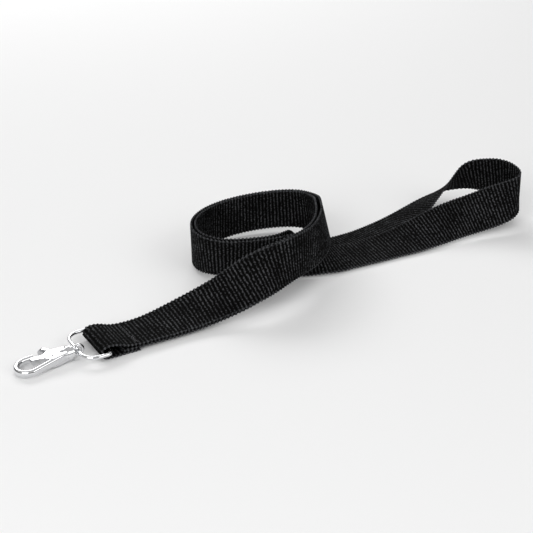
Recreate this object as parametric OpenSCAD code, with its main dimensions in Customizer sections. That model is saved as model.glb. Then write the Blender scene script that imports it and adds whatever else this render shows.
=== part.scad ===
// Neck lanyard, laid down with one coil: a long strap of ribbed webbing folded in two,
// a flat metal ring held in the sewn fold, and a small trigger snap hook on a swivel eye.
// +X runs along the lanyard, from the hook to the far end of the neck loop. +Z is up.

/* [Webbing] */
// Width of the webbing
webbing_width = 20; // [16:0.5:25]
// Thickness of the webbing
webbing_thickness = 1; // [0.7:0.1:1.3]
// Length of strap end turned back under the ring
tail_length = 12.5; // [12.5:0.5:20]
// Distance from the ring's bar to the row of stitches
stitch_distance = 11.5; // [9:0.5:12]
// Thickness of the sewing thread
thread_diameter = 0.45; // [0.3:0.05:0.6]
// Length of one stitch
stitch_length = 1.6; // [1.2:0.1:2.5]

/* [Flat ring] */
// Thickness of the ring's wire
ring_wire = 1.6; // [1.2:0.1:2]
// Distance from the bar to the bow, between wire centres
ring_depth = 10.4; // [9:0.1:14]
// Bend radius of the two corners at the bow
ring_corner = 5.6; // [4.5:0.1:8.5]
// Free play between the webbing and each side of the ring
ring_side_play = 0.4; // [0.2:0.1:1]

/* [Snap hook] */
// Distance from the ring's wire to the tip of the claw
hook_length = 25.5; // [23:0.5:30]
// Width across the claw
claw_width = 12; // [11.5:0.5:15]
// Thickness of the claw's arm, across the opening
claw_arm = 2.3; // [2:0.1:2.6]
// Height of the claw's arm
claw_height = 3; // [2.6:0.1:3.6]
// Diameter of the collar at the swivel end
collar_diameter = 6; // [5.6:0.1:7]
// Distance from the ring's wire to the lever's rivet
pivot_distance = 10.1; // [10:0.1:11]
// Diameter of the lever's rivet
rivet_diameter = 1.6; // [1.3:0.1:1.8]
// Thickness of each cheek plate
cheek_thickness = 0.8; // [0.6:0.1:1.2]
// Height of the lever between the cheeks
lever_height = 2.4; // [2:0.1:2.8]
// Height of the lever's thumb tab
tab_height = 4.4; // [3.6:0.1:5]

/* [Swivel] */
// Diameter of the swivel shank
shank_diameter = 2.4; // [2:0.1:2.6]
// Radius of the hole in the swivel eye
eye_hole_radius = 1.2; // [1.1:0.05:1.5]
// Thickness of the swivel eye
eye_thickness = 1.5; // [1.2:0.1:1.8]

/* [Hidden] */
$fn = 48;

running_gap = 0.05;     // radial clearance of a shaft that turns in its hole
part_gap = 0.15;        // gap between pieces that slide past each other
floor_gap = 0.03;       // lowest pieces stand this far above z = 0
layer_gap = 0.2;        // gap between sewn layers of webbing
edge_bevel = 0.2;       // bevel on the webbing's edges
laid_width = 20;        // webbing width that the lifts below were laid for
spans = 3;              // rings of the strap's mesh to each route point

// ---- Where the strap lies -------------------------------------------------------------
// Doubled strap, from the seam, up and round the coil and in under its own front:
// [x, y, height of the lower edge, lean from upright in degrees, half the layers' spacing in thicknesses]
doubled_route = [
  [-84, -26.5, 1.3, 90, 0.6],
  [-77, -26.5, 1.2, 90, 0.65],
  [-68, -26.5, 0.9, 84, 0.7],
  [-58, -26.5, 1, 76, 0.8],
  [-48, -27.5, 2, 67, 0.85],
  [-38, -29.5, 4, 53, 1],
  [-28, -31, 6.5, 30, 1.1],
  [-18, -31.5, 8.5, 10, 0.95],
  [-8, -29.5, 9.5, 3, 0.75],
  [2, -25, 9, 4, 0.8],
  [11, -18.5, 9, 8, 1],
  [19, -9.5, 9, 13, 1.2],
  [25, 0.5, 7.5, 14, 1.2],
  [30, 9, 5, 12, 1.1],
  [31.5, 18, 3, 7, 0.9],
  [30, 26, 2.5, 4, 0.75],
  [23, 32, 2, 4, 0.7],
  [13, 36, 1.5, 4, 0.7],
  [2, 38, 1, 4, 0.7],
  [-10, 37, 0.8, 2, 0.7],
  [-21, 32, 1, 0, 0.8],
  [-29.5, 24.5, 1, 0, 0.9],
  [-33.5, 15, 1, -2, 1],
  [-32.5, 6, 1.2, -10, 1],
  [-26, -0.5, 0.9, -16, 0.95],
  [-17, -4.5, 0.7, -12, 1],
  [-7, -9.5, 0.5, 0, 1.2]
];

// Single strap, out from under the coil, round the far end and back under itself:
// [x, y, height of the lower edge, lean from upright in degrees]
single_route = [
  [3, -12.5, 0.7, 6],
  [12, -12, 0.5, 42],
  [21, -12, 0.5, 72],
  [31, -11.5, 0.6, 83],
  [42, -12.5, 0.6, 84],
  [52, -12.5, 0.6, 82],
  [61, -13.5, 0.6, 77],
  [71, -14, 0.8, 68],
  [81, -15, 1.2, 56],
  [92, -15.5, 1.8, 48],
  [102, -16.5, 2, 42],
  [111, -18.5, 3, 30],
  [119.5, -22, 5, 8],
  [127.5, -20.5, 7, 0],
  [131, -12, 8.5, 8],
  [130, -3, 9, 10],
  [126, 4, 8, 14],
  [121, 9.5, 7.5, 20],
  [115, 13, 5.5, 37],
  [107.5, 15, 4, 52],
  [98, 14.5, 2, 62],
  [87.5, 11.5, 0.6, 73],
  [79, 9, 0.3, 86],
  [70, 6.5, 0.2, 90],
  [61, 4, 0.2, 91],
  [51, 2, 0.2, 91],
  [40, 1, 0.2, 92],
  [29, 0, 0.2, 95],
  [19, -2, 0.2, 106],
  [10, -5, 0.3, 136],
  [2, -8, 0.5, 162]
];

// ---- Where the ring and hook lie ------------------------------------------------------
fold_y = -26.5;                               // centre line of the sewn fold
bar_x = -97;                                  // the ring's bar, inside the fold
eye_side = -1.8;                              // the swivel eye's place along the bow
wire_r = ring_wire / 2;
collar_r = collar_diameter / 2;
shank_r = shank_diameter / 2;
ring_half = webbing_width / 2 + ring_side_play + wire_r;   // from the ring's middle to its side wires
bow_x = bar_x - ring_depth;
bow_y = fold_y + eye_side;
claw_r = (claw_width - claw_arm) / 2;         // centre line of the claw's arm
claw_x = claw_width / 2 - hook_length;        // centre of the claw's bend, from the wire
pivot_x = -pivot_distance;
collar_front = -2.9;                          // the collar's face towards the ring
collar_back = -4.5;
ring_z = collar_r + 0.35;                     // the ring lies level at this height
droop = asin((ring_z - claw_height / 2 - 2 * floor_gap) / (hook_length - claw_arm / 2)); // the claw rests on the table

// ---- Smooth strap ---------------------------------------------------------------------
function unit(v) = v / norm(v);
function flat_heading(list, i) =
  let (a = list[max(i - 1, 0)], b = list[min(i + 1, len(list) - 1)])
  unit([b.x - a.x, b.y - a.y, 0]);
// Direction across the webbing, from its lower edge to its upper edge
function across(heading, lean) = [-heading.y * sin(lean), heading.x * sin(lean), cos(lean)];
function facing(heading, lean) = cross(heading, across(heading, lean));
function middle(p, half) =
  [p.x, p.y, p[2] * webbing_width / laid_width + webbing_width / 2 * abs(cos(p[3])) + half * abs(sin(p[3]))];

// Each control is [centre, direction across]
function layer(i, side) =
  let (p = doubled_route[i], h = flat_heading(doubled_route, i), apart = p[4] * webbing_thickness)
  [middle(p, apart + webbing_thickness / 2) + side * apart * facing(h, p[3]), across(h, p[3])];
outer_layer = [for (i = [0:len(doubled_route) - 1]) layer(i, 1)];
// The far loop carries half a twist, so the inner layer's across direction is turned over
inner_layer = [for (i = [len(doubled_route) - 1:-1:0]) let (c = layer(i, -1)) [c[0], -c[1]]];
far_loop = [
  for (i = [0:len(single_route) - 1])
    let (p = single_route[i], h = flat_heading(single_route, i))
    [middle(p, webbing_thickness / 2), across(h, p[3])]
];

// The fold round the bar: the tail lies on the table, and the top layer rises over the bar
tail_z = floor_gap + webbing_thickness / 2;
over_bar_z = ring_z + wire_r + 0.9 + webbing_thickness / 2;
fold_r = (over_bar_z - tail_z) / 2;
fold_bend = 45;                                  // turn between the fold's controls
fold_reach = fold_r * 3 / (2 + cos(fold_bend));  // controls stand outside the curve that they make
fold_x = bar_x - 0.8;
seam_z = [for (c = [0:2]) tail_z + c * (webbing_thickness + layer_gap)];
function fold_point(x, z) = [[x, fold_y, z], [0, 1, 0]];
tail_end_x = bar_x + tail_length;
inner_end_x = bar_x + 6;
tail_step = (tail_length - 3) / 2;
fold = concat(
  [for (k = [-1:2]) fold_point(tail_end_x - k * tail_step, tail_z)],
  [
    for (a = [270:-fold_bend:90])
      fold_point(fold_x + fold_reach * cos(a), tail_z + max(0, fold_r + fold_reach * sin(a)))
  ],
  [fold_point(bar_x + 3.5, over_bar_z - 0.1), fold_point(bar_x + 7.5, seam_z[2] + 0.5)]
);
inner_end = [for (k = [-1:1]) fold_point(inner_end_x - k * 3.5, seam_z[1])];
inner_end_turned = [for (c = inner_end) [c[0], -c[1]]];
controls = concat(fold, outer_layer, far_loop, inner_layer, inner_end_turned);

function blend(list, i, k, t) =
  ((1 - t) ^ 3 * list[i][k] + (3 * t ^ 3 - 6 * t ^ 2 + 4) * list[i + 1][k]
    + (-3 * t ^ 3 + 3 * t ^ 2 + 3 * t + 1) * list[i + 2][k] + t ^ 3 * list[i + 3][k]) / 6;
stations = [
  for (i = [0:len(controls) - 4], s = [0:spans - 1]) [blend(controls, i, 0, s / spans), blend(controls, i, 1, s / spans)],
  [blend(controls, len(controls) - 4, 0, 1), blend(controls, len(controls) - 4, 1, 1)]
];

half_w = webbing_width / 2;
half_t = webbing_thickness / 2;
webbing_section = [
  [-half_w, edge_bevel - half_t], [-half_w, half_t - edge_bevel], [edge_bevel - half_w, half_t],
  [0, half_t], [half_w - edge_bevel, half_t],
  [half_w, half_t - edge_bevel], [half_w, edge_bevel - half_t], [half_w - edge_bevel, -half_t],
  [0, -half_t], [edge_bevel - half_w, -half_t]
];
function along(i) =
  unit(stations[min(i + 1, len(stations) - 1)][0] - stations[max(i - 1, 0)][0]);
function ring_points(i) =
  let (
    t = along(i),
    c = stations[i][1],
    w = unit(c - (c * t) * t),
    n = cross(t, w)
  )
  [for (q = webbing_section) stations[i][0] + q[0] * w + q[1] * n];

strap_points = [for (i = [0:len(stations) - 1]) each ring_points(i)];

// The origin is moved under the middle of the whole lanyard, between the claw's tip and the neck loop
tip_x = bow_x - (hook_length - claw_arm / 2) * cos(droop) - claw_arm / 2 - (claw_height - claw_arm) / 2 * sin(droop);
strap_x = [for (p = strap_points) p.x];
strap_y = [for (p = strap_points) p.y];
front_y = min(min(strap_y), fold_y - ring_half - wire_r);
lay_shift = [-(tip_x + max(strap_x)) / 2, -(front_y + max(strap_y)) / 2, 0];

module webbing_strap() {
  sides = len(webbing_section);
  last = len(stations) - 1;
  // Both faces are split along the same diagonals, so the webbing keeps its thickness where it twists
  walls = [
    for (i = [0:last - 1], k = [0:sides - 1])
      let (a = i * sides + k, b = i * sides + (k + 1) % sides)
      each k < sides / 2
        ? [[a, b, b + sides], [a, b + sides, a + sides]]
        : [[a, b, a + sides], [b, b + sides, a + sides]]
  ];
  // Each end is closed by a strip of quads, from one edge of the webbing to the other
  strip = [for (j = [1:sides / 2 - 1]) [j, j + 1, sides - j, (sides - j + 1) % sides]];
  start_cap = [for (q = strip) each [[q[2], q[1], q[0]], [q[3], q[2], q[0]]]];
  end_cap = [for (q = strip) each [[q[0], q[1], q[2]], [q[0], q[2], q[3]]]];
  end_faces = [for (f = end_cap) [for (v = f) v + last * sides]];
  color([0.05, 0.05, 0.06])
    translate(lay_shift)
      polyhedron(points = strap_points, faces = concat(walls, start_cap, end_faces), convexity = 20);
}

// ---- Sewing thread --------------------------------------------------------------------
module seam_stitches() {
  x = bar_x + stitch_distance;
  count = floor((webbing_width - 3) / stitch_length);
  first = fold_y - count * stitch_length / 2;
  top = seam_z[2] + half_t + thread_diameter * 0.2;
  bottom = floor_gap + thread_diameter / 2;
  color([0.32, 0.32, 0.35])
    translate(lay_shift) {
      for (i = [0:count])
        translate([x, first + i * stitch_length, bottom]) cylinder(d = thread_diameter, h = top - bottom, $fn = 16);
      for (i = [0:count - 1], z = [bottom, top])
        translate([x, first + i * stitch_length, z])
          rotate([-90, 0, 0]) cylinder(d = thread_diameter, h = stitch_length, $fn = 16);
      for (i = [0:count], z = [bottom, top])
        translate([x, first + i * stitch_length, z]) sphere(d = thread_diameter, $fn = 16);
    }
}

// ---- Flat ring ------------------------------------------------------------------------
// A quarter bend of wire about a centre, turning from one angle
module wire_bend(centre, radius, from) {
  translate(centre) rotate([0, 0, from])
    rotate_extrude(angle = 90) translate([radius, 0]) circle(r = wire_r);
}

module wire_run(from, to) {
  d = to - from;
  translate(from) rotate([0, 0, atan2(d.y, d.x)]) rotate([0, 90, 0]) cylinder(r = wire_r, h = norm(d));
}

module flat_ring() {
  bar_corner = 1.8;
  color([0.8, 0.81, 0.84])
    translate(lay_shift) translate([bar_x, fold_y, ring_z])
      for (side = [0, 1]) mirror([0, side, 0]) {
        wire_run([0, 0, 0], [0, ring_half - bar_corner, 0]);
        wire_bend([-bar_corner, ring_half - bar_corner, 0], bar_corner, 0);
        wire_run([-bar_corner, ring_half, 0], [ring_corner - ring_depth, ring_half, 0]);
        wire_bend([ring_corner - ring_depth, ring_half - ring_corner, 0], ring_corner, 90);
        wire_run([-ring_depth, ring_half - ring_corner, 0], [-ring_depth, 0, 0]);
      }
}

// ---- Hook: measured from the ring's wire, along -X, drooping until the claw lies down ---
module hook_place() {
  translate(lay_shift) translate([bow_x, bow_y, ring_z]) rotate([0, -droop, 0]) children();
}

module rod_x(from, to, r) {
  translate([min(from, to), 0, 0]) rotate([0, 90, 0]) cylinder(r = r, h = abs(to - from));
}

head_front = -5.7;       // the swivel's riveted head sits behind the collar wall
head_back = -6.5;
flange_front = -1.75;
flange_back = collar_front + part_gap;
head_r = shank_r + 0.6;
eye_shift = eye_hole_radius - wire_r - part_gap;   // the wire lies towards the flange side of the eye

module swivel_eye() {
  color([0.8, 0.81, 0.84])
    hook_place() {
      translate([eye_shift, 0, 0]) rotate([90, 0, 0])
        rotate_extrude() translate([eye_hole_radius + eye_thickness / 2, 0]) circle(d = eye_thickness);
      rod_x(flange_front, flange_back, 2.5);
      rod_x(flange_back, head_front, shank_r);
      rod_x(head_front - running_gap, head_back, head_r);
      rod_x(head_front - running_gap, head_front, shank_r);
    }
}

cheek_r = 3.2;                                       // round of the cheeks about the rivet
slot_half = lever_height / 2 + 0.1;                  // half the slot between the cheeks
cheek_half = slot_half + cheek_thickness;
barrel_r = 2;                                        // the lever's barrel round the rivet
claw_end_x = pivot_x - 6.2;                          // free end of the claw's far arm

// An upright post with round ends, as high as the claw's arm
module arm_post(height) {
  for (side = [-1, 1])
    translate([0, 0, side * (height - claw_arm) / 2]) sphere(d = claw_arm, $fn = 32);
}

module arm_section(height) {
  for (side = [-1, 1]) translate([0, side * (height - claw_arm) / 2]) circle(d = claw_arm);
  square([claw_arm, height - claw_arm], center = true);
}

module cheek_outline() {
  translate([pivot_x, 0]) circle(r = cheek_r);
  polygon([[collar_back, 2.2], [pivot_x + 0.3, cheek_r], [pivot_x, -cheek_r], [collar_back, -2.2]]);
}

module hook_body() {
  color([0.78, 0.79, 0.82])
    hook_place()
      difference() {
        union() {
          translate([claw_x, 0, 0]) rotate([0, 0, 90])
            rotate_extrude(angle = 180) translate([claw_r, 0]) arm_section(claw_height);
          translate([claw_x, claw_r, 0]) rotate([90, 0, 90])
            linear_extrude(claw_end_x - claw_x) arm_section(claw_height);
          hull() {
            translate([claw_x, -claw_r, 0]) arm_post(claw_height);
            translate([collar_back - 0.6, -1.2, 0]) arm_post(claw_height + 0.6);
          }
          translate([0, 0, -cheek_half]) linear_extrude(2 * cheek_half) cheek_outline();
          rod_x(collar_front, collar_back, collar_r);
          rod_x(collar_back, head_back - 0.4, head_r + 0.8);
        }
        rod_x(collar_front + 1, head_front - 1, shank_r + running_gap);
        rod_x(head_front, head_back - part_gap, head_r + part_gap);
        translate([pivot_x, 0, -slot_half]) cylinder(r = barrel_r + part_gap, h = 2 * slot_half);
        translate([0, 0, -slot_half]) linear_extrude(2 * slot_half)
          polygon([
            [head_back, -1], [pivot_x, -1.9], [claw_end_x - 1, -2.5],
            [claw_end_x - 1, claw_r - claw_arm / 2], [pivot_x - cheek_r - 1, cheek_r + 1], [head_back, cheek_r + 1]
          ]);
        translate([pivot_x, 0, -cheek_half - 1]) cylinder(d = rivet_diameter, h = 2 * cheek_half + 2);
      }
}

tab_root = 3.7;          // the tab stands this far out from the rivet, clear of the cheeks
tab_lean = 130;          // the tab's direction, turned from the hook's axis
tab_reach = 4.5;
tab_thickness = 1;

// A plate with a round end, for the thumb
module thumb_tab() {
  round_x = tab_reach - tab_height / 2;
  translate([-0.2, tab_root + 0.2, 0]) rotate([0, 0, tab_lean]) rotate([90, 0, 0])
    translate([0, 0, -tab_thickness / 2]) linear_extrude(tab_thickness) {
      translate([round_x, 0]) circle(d = tab_height);
      translate([-0.3, -tab_height / 2]) square([round_x + 0.3, tab_height]);
    }
}

module gate_lever() {
  nose_y = claw_r - claw_arm / 2 - part_gap;
  color([0.8, 0.81, 0.84])
    hook_place() translate([pivot_x, 0, 0])
      difference() {
        union() {
          translate([0, 0, -lever_height / 2]) {
            cylinder(r = barrel_r, h = lever_height);
            linear_extrude(lever_height)
              polygon([
                [-1.2, -1.6], [-4.5, 1.1], [-7.4, 1.7], [-7.7, nose_y - 0.3], [-7.3, nose_y],
                [-4, nose_y - 0.5], [-2, tab_root - 0.6], [-2, 5.4], [-0.9, 5.4], [0.8, tab_root], [0.8, 1]
              ]);
          }
          thumb_tab();
        }
        translate([0, 0, -lever_height]) cylinder(r = rivet_diameter / 2 + running_gap, h = 2 * lever_height);
        translate([0, 0, -lever_height / 2 - 1]) cylinder(r = spring_r + part_gap, h = 1 + spring_height);
      }
}

spring_wire = 0.35;
spring_height = 0.9;
spring_r = 1.45;

// The closing spring sits in the lever's barrel with one leg along the slot
module gate_spring() {
  color([0.6, 0.6, 0.62])
    hook_place() translate([pivot_x, 0, -lever_height / 2 + part_gap / 2]) {
      for (turn = [0, 1])
        translate([0, 0, spring_wire / 2 + turn * 0.3])
          rotate_extrude() translate([spring_r - spring_wire / 2, 0]) circle(d = spring_wire, $fn = 24);
    }
}

module pivot_rivet() {
  head = 0.4;
  color([0.75, 0.76, 0.78])
    hook_place() translate([pivot_x, 0, 0]) {
      translate([0, 0, -cheek_half]) cylinder(d = rivet_diameter, h = 2 * cheek_half);
      translate([0, 0, cheek_half])
        difference() {
          cylinder(r1 = 1.3, r2 = 1.1, h = head);
          translate([0, 0, 0.1]) cylinder(r1 = 0.5, r2 = 0.7, h = head);
        }
      translate([0, 0, -cheek_half - head]) cylinder(r1 = 0.9, r2 = 1.3, h = head);
    }
}

webbing_strap();
seam_stitches();
flat_ring();
swivel_eye();
hook_body();
gate_lever();
gate_spring();
pivot_rivet();
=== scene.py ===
import math

import bpy
import numpy as np
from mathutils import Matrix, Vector


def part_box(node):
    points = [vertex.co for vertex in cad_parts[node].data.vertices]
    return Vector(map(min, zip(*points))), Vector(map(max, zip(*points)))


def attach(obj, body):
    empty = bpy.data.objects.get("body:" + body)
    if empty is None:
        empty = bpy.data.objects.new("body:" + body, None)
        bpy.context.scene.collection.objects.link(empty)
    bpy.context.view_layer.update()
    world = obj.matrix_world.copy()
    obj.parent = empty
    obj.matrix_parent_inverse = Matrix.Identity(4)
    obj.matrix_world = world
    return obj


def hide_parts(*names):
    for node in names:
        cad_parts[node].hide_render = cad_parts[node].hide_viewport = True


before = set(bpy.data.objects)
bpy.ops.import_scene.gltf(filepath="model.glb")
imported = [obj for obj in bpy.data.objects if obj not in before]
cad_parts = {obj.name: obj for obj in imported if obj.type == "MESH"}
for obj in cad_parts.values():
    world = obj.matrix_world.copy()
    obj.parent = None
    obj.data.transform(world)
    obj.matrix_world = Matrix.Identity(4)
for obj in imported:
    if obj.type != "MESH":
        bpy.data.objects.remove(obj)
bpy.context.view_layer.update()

mm = 0.001

# ---- Camera --------------------------------------------------------------------------
# A long lens, low over the table, in front of the lanyard and a little to its hook end.
# Its place is given as the strap's route is, in millimetres, and is then moved to where the
# frame holds the ring.
bar_x, fold_y, ring_z = -97, -26.5, 3.35       # middle of the ring's bar, in the route's own places
ring_wire_r = 0.8
ring_low, ring_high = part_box("flat_ring")
laid_x = ring_high[0] / mm - (bar_x + ring_wire_r)
laid_y = (ring_low[1] + ring_high[1]) / 2 / mm - fold_y
camera_place = Vector((-228.5 + laid_x, -371.7 + laid_y, 215.2)) * mm
camera_target = Vector((-3.8 + laid_x, 2.3 + laid_y, 0)) * mm
camera_data = bpy.data.cameras.new("camera")
camera_data.lens = 72.4
camera_data.sensor_width = 36
camera_data.clip_start = 0.01
camera_data.clip_end = 20
camera = bpy.data.objects.new("camera", camera_data)
camera.location = camera_place
camera.rotation_euler = (camera_target - camera_place).to_track_quat("-Z", "Y").to_euler()
bpy.context.collection.objects.link(camera)
bpy.context.scene.camera = camera


# ---- Webbing -------------------------------------------------------------------------
# One length of black nylon webbing, woven with ribs across it and a rolled selvedge.
# It is folded in two, its ends are sewn into the fold that holds the ring, and it lies
# on the table in one coil, with half a twist in the neck loop.
web_width = 20
web_thickness = 1.0
layer_gap = 0.2            # between the sewn layers
tail_length = 12.5         # end of the webbing, turned back under the ring
table_gap = 0.03

# Doubled strap, from the seam, up and round the coil and in under its own front:
# [x, y, height of the lower edge, lean from upright in degrees,
#  half the layers' spacing in thicknesses]
doubled_route = [
    (-84, -26.5, 1.3, 90, 0.6),
    (-77, -26.5, 1.2, 90, 0.65),
    (-68, -26.5, 0.9, 84, 0.7),
    (-58, -26.5, 1, 76, 0.8),
    (-48, -27.5, 2, 67, 0.85),
    (-38, -29.5, 4, 53, 1),
    (-28, -31, 6.5, 30, 1.1),
    (-18, -31.5, 8.5, 10, 0.95),
    (-8, -29.5, 9.5, 3, 0.75),
    (2, -25, 9, 4, 0.8),
    (11, -18.5, 9, 8, 1),
    (19, -9.5, 9, 13, 1.2),
    (25, 0.5, 7.5, 14, 1.2),
    (30, 9, 5, 12, 1.1),
    (31.5, 18, 3, 7, 0.9),
    (30, 26, 2.5, 4, 0.75),
    (23, 32, 2, 4, 0.7),
    (13, 36, 1.5, 4, 0.7),
    (2, 38, 1, 4, 0.7),
    (-10, 37, 0.8, 2, 0.7),
    (-21, 32, 1, 0, 0.8),
    (-29.5, 24.5, 1, 0, 0.9),
    (-33.5, 15, 1, -2, 1),
    (-32.5, 6, 1.2, -10, 1),
    (-26, -0.5, 0.9, -16, 0.95),
    (-17, -4.5, 0.7, -12, 1),
    (-7, -9.5, 0.5, 0, 1.2),
]
# Single strap, out from under the coil, round the far end and back under itself:
# [x, y, height of the lower edge, lean from upright in degrees]
single_route = [
    (3, -12.5, 0.7, 6),
    (12, -12, 0.5, 42),
    (21, -12, 0.5, 72),
    (31, -11.5, 0.6, 83),
    (42, -12.5, 0.6, 84),
    (52, -12.5, 0.6, 82),
    (61, -13.5, 0.6, 77),
    (71, -14, 0.8, 68),
    (81, -15, 1.2, 56),
    (92, -15.5, 1.8, 48),
    (102, -16.5, 2, 42),
    (111, -18.5, 3, 30),
    (119.5, -22, 5, 8),
    (127.5, -20.5, 7, 0),
    (131, -12, 8.5, 8),
    (130, -3, 9, 10),
    (126, 4, 8, 14),
    (121, 9.5, 7.5, 20),
    (115, 13, 5.5, 37),
    (107.5, 15, 4, 52),
    (98, 14.5, 2, 62),
    (87.5, 11.5, 0.6, 73),
    (79, 9, 0.3, 86),
    (70, 6.5, 0.2, 90),
    (61, 4, 0.2, 91),
    (51, 2, 0.2, 91),
    (40, 1, 0.2, 92),
    (29, 0, 0.2, 95),
    (19, -2, 0.2, 106),
    (10, -5, 0.3, 136),
    (2, -8, 0.5, 162),
]


def unit(v):
    return v / np.linalg.norm(v, axis=-1, keepdims=True)


def control(route, i, half, side):
    """(centre, direction across the webbing) at a route point, moved `side` towards one face."""
    x, y, lift, lean = route[i][:4]
    ahead = np.array(route[min(i + 1, len(route) - 1)][:2])
    behind = np.array(route[max(i - 1, 0)][:2])
    heading = np.append(unit(ahead - behind), 0)
    a = math.radians(lean)
    across = np.array((-heading[1] * math.sin(a), heading[0] * math.sin(a), math.cos(a)))
    facing = np.cross(heading, across)
    z = lift + web_width / 2 * abs(math.cos(a)) + half * abs(math.sin(a))
    return np.array((x, y, z)) + side * facing, across


def fold_control(x, z):
    return np.array((x, fold_y, z)), np.array((0.0, 1.0, 0.0))


# The fold round the bar: the tail lies on the table, and the top layer rises over the bar
tail_z = table_gap + web_thickness / 2
over_bar_gap = 0.9
over_bar_z = ring_z + ring_wire_r + over_bar_gap + web_thickness / 2
fold_x = bar_x - 0.8
fold_r = (over_bar_z - tail_z) / 2
fold_bend = 45                                                            # degrees between controls
fold_reach = fold_r * 3 / (2 + math.cos(math.radians(fold_bend)))          # controls stand outside the curve
seam_z = [tail_z + k * (web_thickness + layer_gap) for k in range(3)]
tail_step = (tail_length - 3) / 2

controls = [fold_control(bar_x + tail_length - k * tail_step, tail_z) for k in range(-1, 3)]
for turn in range(270, 89, -fold_bend):
    a = math.radians(turn)
    controls.append(fold_control(fold_x + fold_reach * math.cos(a),
                                 tail_z + max(0, fold_r + fold_reach * math.sin(a))))
controls.append(fold_control(bar_x + 3.5, over_bar_z - 0.1))
controls.append(fold_control(bar_x + 7.5, seam_z[2] + 0.5))

# Out along the outer layer, round the far loop, and back along the inner layer, turned over
for i, point in enumerate(doubled_route):
    controls.append(control(doubled_route, i, (point[4] + 0.5) * web_thickness, point[4] * web_thickness))
for i in range(len(single_route)):
    controls.append(control(single_route, i, web_thickness / 2, 0))
for i in reversed(range(len(doubled_route))):
    half = doubled_route[i][4] * web_thickness
    centre, across = control(doubled_route, i, half + web_thickness / 2, -half)
    controls.append((centre, -across))
inner_end_x, inner_step = bar_x + 6, 3.5
for k in (-1, 0, 1):
    centre, across = fold_control(inner_end_x - k * inner_step, seam_z[1])
    controls.append((centre, -across))

centres = np.array([c for c, _ in controls]) + (laid_x, laid_y, 0)
acrosses = np.array([a for _, a in controls])


def smooth(values, steps):
    """Points along the uniform cubic B-spline of some controls."""
    t = np.linspace(0, 1, steps, endpoint=False)[:, None]
    weights = ((1 - t) ** 3, 3 * t ** 3 - 6 * t ** 2 + 4, -3 * t ** 3 + 3 * t ** 2 + 3 * t + 1, t ** 3)
    spans = [sum(w * values[i + k] for k, w in enumerate(weights)) / 6 for i in range(len(values) - 3)]
    last = (values[-3] + 4 * values[-2] + values[-1]) / 6
    return np.concatenate(spans + [last[None]])


curve_steps = 30
path = smooth(centres, curve_steps)
path_across = smooth(acrosses, curve_steps)
travelled = np.concatenate([[0], np.cumsum(np.linalg.norm(np.diff(path, axis=0), axis=1))])
web_length = travelled[-1]

rib_pitch = 1.66
samples_per_rib = 4
ribs = round(web_length / rib_pitch)
ring_count = ribs * samples_per_rib + 1
stations = np.linspace(0, web_length, ring_count)
middle = np.stack([np.interp(stations, travelled, path[:, k]) for k in range(3)], axis=1)
across = np.stack([np.interp(stations, travelled, path_across[:, k]) for k in range(3)], axis=1)
along = unit(np.gradient(middle, axis=0))
across = unit(across - (across * along).sum(1, keepdims=True) * along)
facing = np.cross(along, across)

# The section: flat faces between two rolled edges, as (place across, place through, yarn count)
edge_round = 0.5
face_steps = 18
edge_steps = 4
yarn_pitch = 0.5
section = []
for side in (1, -1):
    for s in np.linspace(-1, 1, face_steps + 1):
        section.append((side * s * (web_width / 2 - edge_round), side, side * s * web_width / 2 / yarn_pitch))
    for s in range(1, edge_steps):
        a = math.pi / 2 - math.pi * s / edge_steps
        reach = edge_round * math.cos(a)
        section.append((side * (web_width / 2 - edge_round + reach), side * math.sin(a),
                        side * (web_width / 2 + reach * 2) / yarn_pitch))
section = np.array(section)
section_count = len(section)

# Each rib is a thick yarn across the webbing: the faces sink between ribs, and the edge scallops
valley_share, crest_share = 0.4, 0.98       # of the webbing's thickness
valley_inset, uneven_inset = 0.45, 0.5
rib_spread = 0.05
rng = np.random.default_rng(7)
rib_number = np.arange(ring_count) / samples_per_rib
crest = 0.5 + 0.5 * np.cos(2 * np.pi * rib_number)
rib_uneven = np.repeat(rng.normal(0, rib_spread, ribs + 1), samples_per_rib)[:ring_count]
half_thick = web_thickness / 2 * (valley_share + (crest_share - valley_share) * crest)
narrowing = valley_inset * (1 - crest) + uneven_inset * np.abs(rib_uneven)
on_edge = np.abs(section[None, :, 0]) > web_width / 2 - edge_round - 0.01
wide = section[None, :, 0] - np.sign(section[None, :, 0]) * narrowing[:, None] * on_edge
thick = section[None, :, 1] * half_thick[:, None]
points = (middle[:, None] + wide[..., None] * across[:, None] + thick[..., None] * facing[:, None]) * mm

web_mesh = bpy.data.meshes.new("webbing")
faces = []
for r in range(ring_count - 1):
    for k in range(section_count):
        a = r * section_count + k
        b = r * section_count + (k + 1) % section_count
        faces.append((a, b, b + section_count, a + section_count))
faces.append(tuple(range(section_count))[::-1])
faces.append(tuple((ring_count - 1) * section_count + k for k in range(section_count)))
web_mesh.from_pydata(points.reshape(-1, 3), [], faces)
web_uv = web_mesh.uv_layers.new(name="weave")
corner = np.zeros(len(web_mesh.loops), dtype=int)
web_mesh.loops.foreach_get("vertex_index", corner)
ring_of, place_of = corner // section_count, corner % section_count
uv = np.stack([section[place_of, 2], rib_number[ring_of]], axis=1)
web_uv.data.foreach_set("uv", uv.astype(np.float32).ravel())
web_mesh.polygons.foreach_set("use_smooth", np.ones(len(web_mesh.polygons), dtype=bool))
web_mesh.update()
webbing = bpy.data.objects.new("webbing", web_mesh)
bpy.context.collection.objects.link(webbing)

# Black nylon yarn: a grey painted highlight on the crest of each rib, broken into specks by the yarns
# that cross it, with near black painted shade between the ribs
web_material = bpy.data.materials.new("black_nylon_webbing")
web_material.use_nodes = True
nodes, links = web_material.node_tree.nodes, web_material.node_tree.links
nylon = nodes["Principled BSDF"]
nylon.inputs["Specular IOR Level"].default_value = 0.03


def new_node(tree_nodes, kind, **settings):
    n = tree_nodes.new(kind)
    for name, value in settings.items():
        setattr(n, name, value)
    return n


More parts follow.
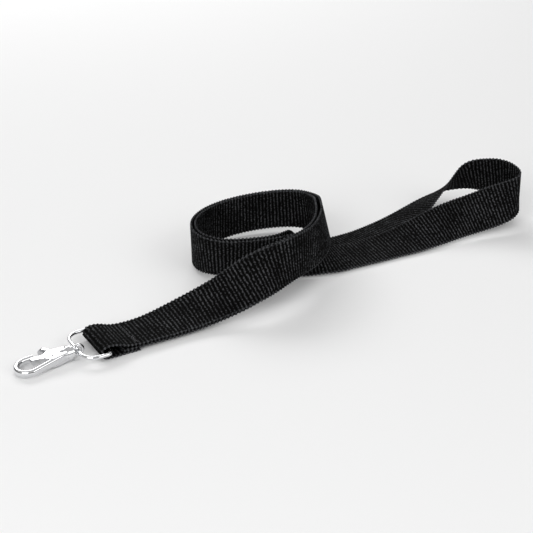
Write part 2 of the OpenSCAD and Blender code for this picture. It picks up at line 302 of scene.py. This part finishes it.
def math_node(operation, *inputs):
    n = new_node(nodes, "ShaderNodeMath", operation=operation)
    for i, value in enumerate(inputs):
        if isinstance(value, (int, float)):
            n.inputs[i].default_value = value
        else:
            links.new(value, n.inputs[i])
    return n.outputs[0]


def ramp(value, *stops):
    n = nodes.new("ShaderNodeValToRGB")
    links.new(value, n.inputs[0])
    n.color_ramp.elements[0].position = stops[0][0]
    n.color_ramp.elements[0].color = (*stops[0][1], 1)
    n.color_ramp.elements[1].position = stops[1][0]
    n.color_ramp.elements[1].color = (*stops[1][1], 1)
    for place, colour in stops[2:]:
        n.color_ramp.elements.new(place).color = (*colour, 1)
    return n.outputs[0]


uv_node = new_node(nodes, "ShaderNodeUVMap", uv_map="weave")
split = nodes.new("ShaderNodeSeparateXYZ")
links.new(uv_node.outputs[0], split.inputs[0])

# The ribs wander a little, as the yarns were beaten up unevenly
wander = nodes.new("ShaderNodeTexNoise")
wander.inputs["Scale"].default_value = 0.45
wander.inputs["Detail"].default_value = 1
links.new(uv_node.outputs[0], wander.inputs["Vector"])
yarns_in = split.outputs[0]
ribs_in = math_node("MULTIPLY_ADD", math_node("SUBTRACT", wander.outputs[0], 0.5), 0.6, split.outputs[1])
rib_wave = math_node(
    "MULTIPLY_ADD", math_node("COSINE", math_node("MULTIPLY", ribs_in, 2 * math.pi)), 0.5, 0.5)
rib_index = math_node("FLOOR", math_node("ADD", ribs_in, 0.5))
yarn_place = math_node("MULTIPLY_ADD", rib_index, 0.5, yarns_in)
yarn_wave = math_node(
    "MULTIPLY_ADD", math_node("COSINE", math_node("MULTIPLY", yarn_place, 2 * math.pi)), 0.5, 0.5)

grain = nodes.new("ShaderNodeTexNoise")
stretch = nodes.new("ShaderNodeMapping")
stretch.inputs["Scale"].default_value = (0.55, 1.5, 1)
links.new(uv_node.outputs[0], stretch.inputs[0])
links.new(stretch.outputs[0], grain.inputs["Vector"])
grain.inputs["Scale"].default_value = 1.1
grain.inputs["Detail"].default_value = 4
# Large soft patches of painted sheen, which brighten and dim the crest highlight at random
sheen_patch_noise = nodes.new("ShaderNodeTexNoise")
links.new(nodes.new("ShaderNodeTexCoord").outputs["Object"], sheen_patch_noise.inputs["Vector"])
sheen_patch_noise.inputs["Scale"].default_value = 90
sheen_patch_noise.inputs["Detail"].default_value = 2

# Painted highlight on the rib crests, speckled by the crossing yarns and the grain
painted_crest_highlight = math_node("POWER", rib_wave, 1.5)
yarn_light = math_node("MULTIPLY_ADD", yarn_wave, 0.5, 0.5)
specks = math_node("MULTIPLY_ADD", grain.outputs[0], 4.6, -1.5)
painted_sheen_patches = math_node("MULTIPLY_ADD", sheen_patch_noise.outputs[0], 1.4, 0.3)
speckled_highlight = math_node("MULTIPLY", math_node("MULTIPLY", painted_crest_highlight, yarn_light), specks)
patchy_highlight = math_node("MULTIPLY", speckled_highlight, painted_sheen_patches)

# Along the rolled selvedge a painted highlight, in specks, makes both edges of the webbing lighter
edge_start, edge_full = 19.2, 20.6          # in yarns from the middle
selvedge = nodes.new("ShaderNodeMapRange")
selvedge.inputs["From Min"].default_value = edge_start
selvedge.inputs["From Max"].default_value = edge_full
links.new(math_node("ABSOLUTE", yarns_in), selvedge.inputs[0])
edge_specks = math_node("MULTIPLY_ADD", grain.outputs[0], 0.9, 0.05)
painted_edge_highlight = math_node("MULTIPLY", selvedge.outputs[0], edge_specks)
painted_light_tone = math_node("MULTIPLY_ADD", painted_edge_highlight, 0.8, patchy_highlight)
# Colour ramp: near black painted shade at 0, the yarn's own black at 0.3, and the grey painted highlight at 1
painted_valley_shade = (0.0012, 0.0012, 0.0011)
black_yarn = (0.005, 0.005, 0.0052)
highlight_grey = (0.068, 0.07, 0.074)
colour = ramp(painted_light_tone, (0.0, painted_valley_shade), (1.0, highlight_grey), (0.3, black_yarn))
links.new(colour, nylon.inputs["Base Color"])
links.new(math_node("MULTIPLY_ADD", grain.outputs[0], 0.2, 0.7), nylon.inputs["Roughness"])
web_bump = nodes.new("ShaderNodeBump")
web_bump.inputs["Strength"].default_value = 0.6
web_bump.inputs["Distance"].default_value = 0.12 * mm
relief = math_node("ADD", math_node("MULTIPLY", yarn_wave, rib_wave), grain.outputs[0])
links.new(relief, web_bump.inputs["Height"])
links.new(web_bump.outputs[0], nylon.inputs["Normal"])
web_mesh.materials.append(web_material)

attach(webbing, "strap")
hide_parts("webbing_strap")

# ---- Seam stitches -------------------------------------------------------------------
# Grey polyester thread, locked through the tail and both layers in one row across the webbing,
# with a short bar of extra stitches at the near edge to hold the row's end.
stitch_distance = 11.5
stitch_length = 1.6
thread_radius = 0.19
stitch_gap = 0.35
row_half = web_width / 2 - 1.5    # the row stops this far from the middle
end_drop = thread_radius * 1.3    # a stitch's ends go down into the webbing by this
cut_share, end_share = 0.25, 0.45 # of a stitch's length: where it is cut, and where its end begins
sink = 0.06                       # the thread pulls this far down into the ribs
seam_x = bar_x + stitch_distance + laid_x
top_layer = middle[:ring_count // 8]                    # the start of the strap, past the fold
top_layer = top_layer[top_layer[:, 2] > seam_z[1]]
seam_top = float(np.interp(seam_x, top_layer[:, 0], top_layer[:, 2])) + web_thickness / 2


def add_stitch(x, y, z, length, turn):
    """One stitch: a short thread laid along the row, with its ends bent down into the webbing."""
    bpy.ops.object.select_all(action="DESELECT")
    bpy.ops.mesh.primitive_cylinder_add(vertices=10, radius=thread_radius * mm, depth=length * mm,
                                        location=(0, 0, 0), rotation=(math.pi / 2, 0, 0))
    stitch = bpy.context.object
    bpy.ops.object.transform_apply(rotation=True)
    bpy.ops.object.mode_set(mode="EDIT")
    for cut in (cut_share, -cut_share):
        bpy.ops.mesh.select_all(action="SELECT")
        bpy.ops.mesh.bisect(plane_co=(0, cut * length * mm, 0), plane_no=(0, 1, 0))
    bpy.ops.object.mode_set(mode="OBJECT")
    for vertex in stitch.data.vertices:
        if abs(vertex.co.y) > length * mm * end_share:
            vertex.co.z -= end_drop * mm * (1 if z > seam_z[1] else -1)
    stitch.rotation_euler = (0, 0, turn)
    stitch.location = Vector((x, y, z)) * mm
    bpy.ops.object.transform_apply(location=True, rotation=True)
    bpy.ops.object.shade_smooth()
    return stitch


stitches = []
stitch_count = int(2 * row_half / stitch_length)
row_start = fold_y + laid_y - stitch_count * stitch_length / 2
for level in (seam_top - sink, table_gap + thread_radius):
    for k in range(stitch_count):
        wobble_x, wobble_turn = rng.normal(0, 0.08), rng.normal(0, 0.12)
        stitches.append(add_stitch(seam_x + wobble_x, row_start + (k + 0.5) * stitch_length, level,
                                   stitch_length - stitch_gap, wobble_turn))
tack_count, tack_side, tack_step = 4, 0.55, stitch_length * 0.8
for k in range(tack_count):
    wobble_x, wobble_turn = rng.normal(0, 0.06), rng.normal(0, 0.2)
    stitches.append(add_stitch(seam_x + tack_side + wobble_x, row_start + (k + 0.3) * tack_step,
                               seam_top - sink, stitch_length - stitch_gap, wobble_turn))
bpy.ops.object.select_all(action="DESELECT")
for stitch in stitches:
    stitch.select_set(True)
bpy.context.view_layer.objects.active = stitches[0]
bpy.ops.object.join()
seam_thread = bpy.context.object
seam_thread.name = "seam_thread"

# Twisted grey thread: fine slanted plies, and a little uneven in shade
thread_material = bpy.data.materials.new("grey_polyester_thread")
thread_material.use_nodes = True
thread_tree = thread_material.node_tree
polyester = thread_tree.nodes["Principled BSDF"]
polyester.inputs["Roughness"].default_value = 0.75
polyester.inputs["Specular IOR Level"].default_value = 0.15
plies = thread_tree.nodes.new("ShaderNodeTexWave")
plies.bands_direction = "DIAGONAL"
plies.inputs["Scale"].default_value = 1500
plies.inputs["Distortion"].default_value = 1.5
thread_place = thread_tree.nodes.new("ShaderNodeTexCoord")
thread_tree.links.new(thread_place.outputs["Object"], plies.inputs["Vector"])
thread_ramp = thread_tree.nodes.new("ShaderNodeValToRGB")
thread_ramp.color_ramp.elements[0].color = (0.012, 0.012, 0.013, 1)
thread_ramp.color_ramp.elements[1].color = (0.1, 0.1, 0.105, 1)
thread_tree.links.new(plies.outputs[1], thread_ramp.inputs[0])
thread_tree.links.new(thread_ramp.outputs[0], polyester.inputs["Base Color"])
thread_bump = thread_tree.nodes.new("ShaderNodeBump")
thread_bump.inputs["Strength"].default_value = 0.4
thread_bump.inputs["Distance"].default_value = 0.05 * mm
thread_tree.links.new(plies.outputs[1], thread_bump.inputs["Height"])
thread_tree.links.new(thread_bump.outputs[0], polyester.inputs["Normal"])
seam_thread.data.materials.clear()
seam_thread.data.materials.append(thread_material)
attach(seam_thread, "strap")
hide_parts("seam_stitches")

# ---- Polished metal ------------------------------------------------------------------
# The ring is bent from nickel-plated wire, and the hook, its eye and its lever are cast and
# plated. The CAD's own solids are shown.
def plated(name, shade, rough):
    material = bpy.data.materials.new(name)
    material.use_nodes = True
    tree = material.node_tree
    shader = tree.nodes["Principled BSDF"]
    shader.inputs["Metallic"].default_value = 1
    place = tree.nodes.new("ShaderNodeTexCoord")
    wear = tree.nodes.new("ShaderNodeTexNoise")
    wear.inputs["Scale"].default_value = 900
    wear.inputs["Detail"].default_value = 4
    tree.links.new(place.outputs["Object"], wear.inputs["Vector"])
    gloss = tree.nodes.new("ShaderNodeMapRange")
    gloss.inputs["To Min"].default_value = rough * 0.6
    gloss.inputs["To Max"].default_value = rough * 1.8
    tree.links.new(wear.outputs[0], gloss.inputs[0])
    tree.links.new(gloss.outputs[0], shader.inputs["Roughness"])
    tint = tree.nodes.new("ShaderNodeValToRGB")
    tint.color_ramp.elements[0].position = 0.3
    tint.color_ramp.elements[0].color = (shade * 0.93, shade * 0.94, shade * 0.97, 1)   # faintly blue
    tint.color_ramp.elements[1].position = 0.7
    tint.color_ramp.elements[1].color = (shade, shade, shade, 1)
    tree.links.new(wear.outputs[0], tint.inputs[0])
    tree.links.new(tint.outputs[0], shader.inputs["Base Color"])
    bumps = tree.nodes.new("ShaderNodeBump")
    bumps.inputs["Strength"].default_value = 0.12
    bumps.inputs["Distance"].default_value = 0.03 * mm
    tree.links.new(wear.outputs[0], bumps.inputs["Height"])
    tree.links.new(bumps.outputs[0], shader.inputs["Normal"])
    return material


bright_plate = plated("bright_nickel", 0.78, 0.07)
for name in ("flat_ring", "swivel_eye", "hook_body", "gate_lever", "pivot_rivet", "gate_spring"):
    for material_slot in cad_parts[name].material_slots:
        material_slot.material = bright_plate

# ---- Floor and light -----------------------------------------------------------------
# A plain pale table, with soft lights low on the left, in front, and above and behind.
bpy.ops.object.select_all(action="DESELECT")
bpy.ops.mesh.primitive_plane_add(size=6, location=(0, 0, -0.02 * mm))
floor = bpy.context.object
floor.name = "floor"
floor_material = bpy.data.materials.new("pale_table")
floor_material.use_nodes = True
floor_shader = floor_material.node_tree.nodes["Principled BSDF"]
floor_shader.inputs["Base Color"].default_value = (0.86, 0.86, 0.86, 1)
floor_shader.inputs["Roughness"].default_value = 0.9
floor.data.materials.append(floor_material)

# The studio is white overhead, with a dark band that gives the polished metal its streaks
world = bpy.data.worlds.new("studio")
world.use_nodes = True
sky = world.node_tree
sky_direction = sky.nodes.new("ShaderNodeTexCoord")
sky_split = sky.nodes.new("ShaderNodeSeparateXYZ")
sky_ramp = sky.nodes.new("ShaderNodeValToRGB")
sky.links.new(sky_direction.outputs["Generated"], sky_split.inputs[0])
sky.links.new(sky_split.outputs[2], sky_ramp.inputs[0])
sky.links.new(sky_ramp.outputs[0], sky.nodes["Background"].inputs[0])
sky_ramp.color_ramp.elements[0].position = 0.1
sky_ramp.color_ramp.elements[0].color = (0.9, 0.9, 0.9, 1)
sky_ramp.color_ramp.elements[1].position = 0.9
sky_ramp.color_ramp.elements[1].color = (0.8, 0.8, 0.8, 1)
for place, grey in ((0.2, 0.05), (0.42, 0.04), (0.5, 0.75)):
    sky_ramp.color_ramp.elements.new(place).color = (grey, grey, grey, 1)
sky.nodes["Background"].inputs[1].default_value = 0.7
bpy.context.scene.world = world
bpy.context.scene.view_settings.view_transform = "Standard"


def softbox(name, place, size, power):
    data = bpy.data.lights.new(name, "AREA")
    data.shape = "RECTANGLE"
    data.size, data.size_y = size
    data.energy = power
    lamp = bpy.data.objects.new(name, data)
    lamp.location = place
    lamp.rotation_euler = (-Vector(place)).to_track_quat("-Z", "Y").to_euler()
    bpy.context.collection.objects.link(lamp)


softbox("key", (-0.9, -0.55, 0.55), (0.7, 0.7), 7)
softbox("fill", (0.4, -0.9, 0.6), (0.8, 0.6), 3)
softbox("rim", (0.2, 1.1, 0.8), (1.2, 0.5), 9)
